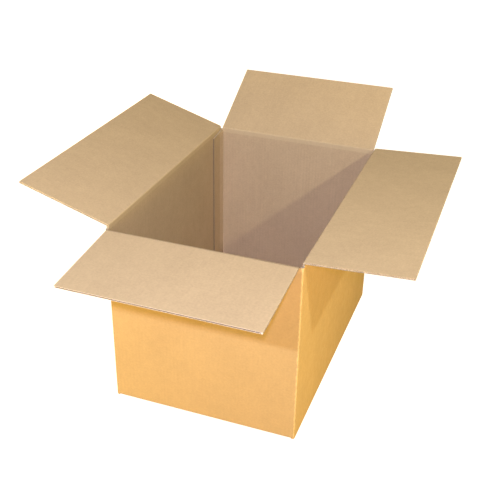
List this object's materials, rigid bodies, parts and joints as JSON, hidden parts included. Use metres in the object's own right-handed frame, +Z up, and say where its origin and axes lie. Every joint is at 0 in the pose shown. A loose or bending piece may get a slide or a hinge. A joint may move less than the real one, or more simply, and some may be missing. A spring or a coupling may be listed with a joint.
{
  "type": "open cardboard box",
  "caption": "Open slotted shipping box of plain single-wall corrugated board, with hinged top flaps, a glued base and a glue tab inside one rear corner.",
  "frame": {"origin": "centre of the base on the floor, at the seam between the outer base flaps", "axes": "+Z up; -Y towards the front (short) wall; +X towards the right (long) wall"},
  "size_m": [0.8029, 0.9845, 0.5165],
  "materials": {
    "board": "matte",
    "flap_paper": "matte"
  },
  "bodies": {
    "box": {"box_body": "board"},
    "front": {"front_flap": "flap_paper"},
    "rear": {"rear_flap": "flap_paper"},
    "left": {"left_flap": "flap_paper"},
    "right": {"right_flap": "flap_paper"}
  },
  "joints": [
    {"name": "front_crease", "type": "hinge", "parent": "box", "child": "front", "pos_m": [0, -0.304, 0.412], "axis": [1, 0, 0], "range_deg": [-185, 77]},
    {"name": "rear_crease", "type": "hinge", "parent": "box", "child": "rear", "pos_m": [0, 0.304, 0.412], "axis": [-1, 0, 0], "range_deg": [-150, 112]},
    {"name": "left_crease", "type": "hinge", "parent": "box", "child": "left", "pos_m": [-0.204, 0, 0.4163], "axis": [0, -1, 0], "range_deg": [-163, 99]},
    {"name": "right_crease", "type": "hinge", "parent": "box", "child": "right", "pos_m": [0.204, 0, 0.4163], "axis": [0, 1, 0], "range_deg": [-177, 85]}
  ]
}
